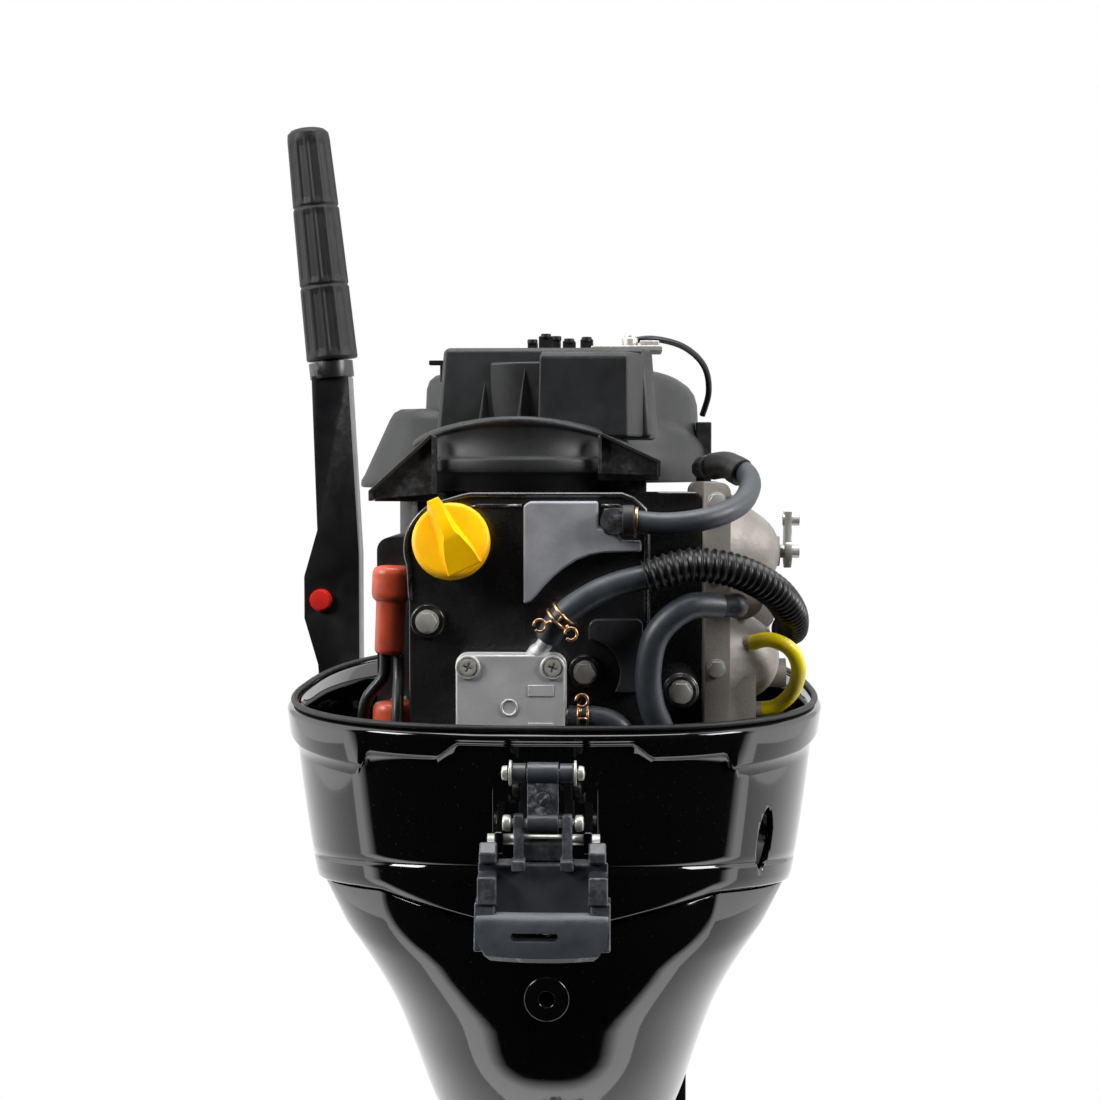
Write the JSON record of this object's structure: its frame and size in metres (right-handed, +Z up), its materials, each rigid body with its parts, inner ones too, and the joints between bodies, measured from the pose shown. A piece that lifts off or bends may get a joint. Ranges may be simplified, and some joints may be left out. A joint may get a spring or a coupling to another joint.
{
  "type": "outboard motor",
  "caption": "Portable four-stroke outboard motor with its top cowl off: engine in a lower cowl, folded-up tiller, transom clamps, gearcase and propeller.",
  "frame": {"origin": "top edge of the transom, on its outer face and the motor's centreline", "axes": "+Z up, +Y forward into the boat, +X to starboard"},
  "size_m": [0.4011, 0.67, 1.267],
  "materials": {
    "black_paint": "gloss",
    "bracket_paint": "satin",
    "cover_paint": "gloss",
    "engine_paint": "satin",
    "steel": "machined",
    "zinc": "zinc plated",
    "aluminium": "cast",
    "brown_casting": "cast",
    "black_plastic": "grained",
    "latch_plastic": "satin",
    "grey_hose": "matte",
    "black_hose": "satin",
    "yellow_hose": "satin",
    "rubber": "matte",
    "red_rubber": "satin",
    "red_plastic": "gloss",
    "yellow_plastic": "gloss",
    "brass": "gold chromate",
    "prop_paint": "gloss"
  },
  "bodies": {
    "pad_port": {"clamp_pad_port": "aluminium"},
    "pad_starboard": {"clamp_pad_starboard": "aluminium"},
    "screw_port": {"clamp_screw_port": "steel"},
    "screw_starboard": {"clamp_screw_starboard": "steel"},
    "swivel": {"swivel_bracket": "bracket_paint"},
    "tiller": {"tiller_arm": "bracket_paint"},
    "grip": {"tiller_grip": "rubber"},
    "stop": {"stop_button": "red_plastic"},
    "throttle": {"throttle_lever": "zinc"},
    "shift": {"shift_lever": "bracket_paint"},
    "shift_linkage": {"shift_rod": "steel"},
    "latch": {"latch_lever": "latch_plastic"},
    "latch_hook": {"latch_link": "latch_plastic"},
    "choke": {"choke_knob": "black_plastic"},
    "cap": {"oil_cap": "yellow_plastic"},
    "crank": {"crankshaft": "steel", "flywheel": "steel", "driveshaft": "steel"},
    "cam": {"camshaft": "steel"},
    "prop": {"prop_shaft": "steel", "propeller": "prop_paint"},
    "bracket": {"clamp_bracket_port": "bracket_paint", "clamp_bracket_starboard": "bracket_paint", "tilt_tube": "steel", "tilt_tube_nuts": "zinc", "tilt_pin": "zinc"},
    "motor": {"lower_cowl": "black_paint", "upper_casing": "black_paint", "gearcase": "black_paint", "steering_bracket": "bracket_paint", "valve_cover": "cover_paint", "cylinder_block": "engine_paint", "cylinder_head": "engine_paint", "starter_motor": "engine_paint", "cover_bolts": "zinc", "pump_screws": "zinc", "spark_plugs": "zinc", "fuel_pump": "aluminium", "pistons": "aluminium", "trim_anode": "aluminium", "intake_manifold": "brown_casting", "carburetor": "brown_casting", "belt_cover": "black_plastic", "air_silencer": "black_plastic", "flywheel_cover": "black_plastic", "ignition_coil": "black_plastic", "oil_filler_neck": "black_plastic", "hose_fittings": "black_plastic", "inlet_screens": "black_plastic", "breather_hose": "grey_hose", "pump_hose": "grey_hose", "drain_hose": "grey_hose", "hose_conduit": "black_hose", "plug_leads": "black_hose", "control_cable": "black_hose", "telltale_hose": "yellow_hose", "cowl_seal": "rubber", "timing_belt": "rubber", "plug_boots": "red_rubber", "hose_clips": "brass"}
  },
  "joints": [
    {"name": "tilt", "type": "hinge", "parent": "bracket", "child": "swivel", "pos_m": [0, 0.005, 0.022], "axis": [-1, 0, 0], "range_deg": [0, 70]},
    {"name": "steer", "type": "hinge", "parent": "swivel", "child": "motor", "pos_m": [0, -0.062, 0], "axis": [0, 0, 1], "range_deg": [-40, 40]},
    {"name": "tiller_fold", "type": "hinge", "parent": "motor", "child": "tiller", "pos_m": [-0.184, 0, 0.13], "axis": [-1, 0, 0], "range_deg": [0, 90]},
    {"name": "grip_twist", "type": "hinge", "parent": "tiller", "child": "grip", "pos_m": [-0.193, 0, 0.399], "axis": [-0.1028, 0, 0.9947], "range_deg": [0, 100]},
    {"name": "throttle_turn", "type": "hinge", "parent": "motor", "child": "throttle", "pos_m": [0.14, -0.392, 0.262], "axis": [1, 0, 0], "range_deg": [0, 70]},
    {"name": "stop_press", "type": "slide", "parent": "tiller", "child": "stop", "axis": [0, 1, 0], "range_m": [0, 0.003], "stiffness_N_per_m": 600},
    {"name": "shift_swing", "type": "hinge", "parent": "motor", "child": "shift", "pos_m": [0.146, -0.08, 0.085], "axis": [1, 0, 0], "range_deg": [-20, 20]},
    {"name": "shift_rod_lift", "type": "slide", "parent": "motor", "child": "shift_linkage", "axis": [0, 0, 1], "range_m": [-0.0081, 0.0081]},
    {"name": "latch_swing", "type": "hinge", "parent": "motor", "child": "latch", "pos_m": [0, -0.502, 0.108], "axis": [-1, 0, 0], "range_deg": [0, 75]},
    {"name": "latch_hook_swing", "type": "hinge", "parent": "latch", "child": "latch_hook", "pos_m": [0, -0.512, 0.119], "axis": [-1, 0, 0], "range_deg": [-98, 0]},
    {"name": "choke_pull", "type": "slide", "parent": "motor", "child": "choke", "axis": [0, 1, 0], "range_m": [0, 0.02]},
    {"name": "cap_turn", "type": "hinge", "parent": "motor", "child": "cap", "pos_m": [-0.054, -0.452, 0.266], "axis": [0, -0.9397, 0.342], "range_deg": [0, 360]},
    {"name": "crank_spin", "type": "hinge", "parent": "motor", "child": "crank", "pos_m": [0, -0.165, 0], "axis": [0, 0, 1], "continuous": true},
    {"name": "cam_spin", "type": "hinge", "parent": "motor", "child": "cam", "pos_m": [-0.006, -0.362, 0], "axis": [0, 0, 1], "continuous": true},
    {"name": "prop_spin", "type": "hinge", "parent": "motor", "child": "prop", "pos_m": [0, -0.367, -0.56], "axis": [0, -1, 0], "continuous": true},
    {"name": "pad_port_travel", "type": "slide", "parent": "bracket", "child": "pad_port", "axis": [0, -1, 0], "range_m": [-0.0075, 0.036]},
    {"name": "screw_port_turn", "type": "hinge", "parent": "pad_port", "child": "screw_port", "pos_m": [-0.084, 0.054, -0.038], "axis": [0, -1, 0], "range_deg": [-1350, 6480]},
    {"name": "pad_starboard_travel", "type": "slide", "parent": "bracket", "child": "pad_starboard", "axis": [0, -1, 0], "range_m": [-0.0075, 0.036]},
    {"name": "screw_starboard_turn", "type": "hinge", "parent": "pad_starboard", "child": "screw_starboard", "pos_m": [0.084, 0.054, -0.038], "axis": [0, -1, 0], "range_deg": [-1350, 6480]}
  ],
  "couplings": [
    {"joint": "throttle_turn", "follows": "grip_twist", "ratio": 0.7},
    {"joint": "shift_rod_lift", "follows": "shift_swing", "m_per_rad": 0.0229},
    {"joint": "latch_hook_swing", "follows": "latch_swing", "ratio": -1.3},
    {"joint": "cam_spin", "follows": "crank_spin", "ratio": 0.5},
    {"joint": "prop_spin", "follows": "crank_spin", "ratio": 0.48148},
    {"joint": "pad_port_travel", "follows": "screw_port_turn", "m_per_rad": 0.00031831},
    {"joint": "pad_starboard_travel", "follows": "screw_starboard_turn", "m_per_rad": 0.00031831}
  ]
}
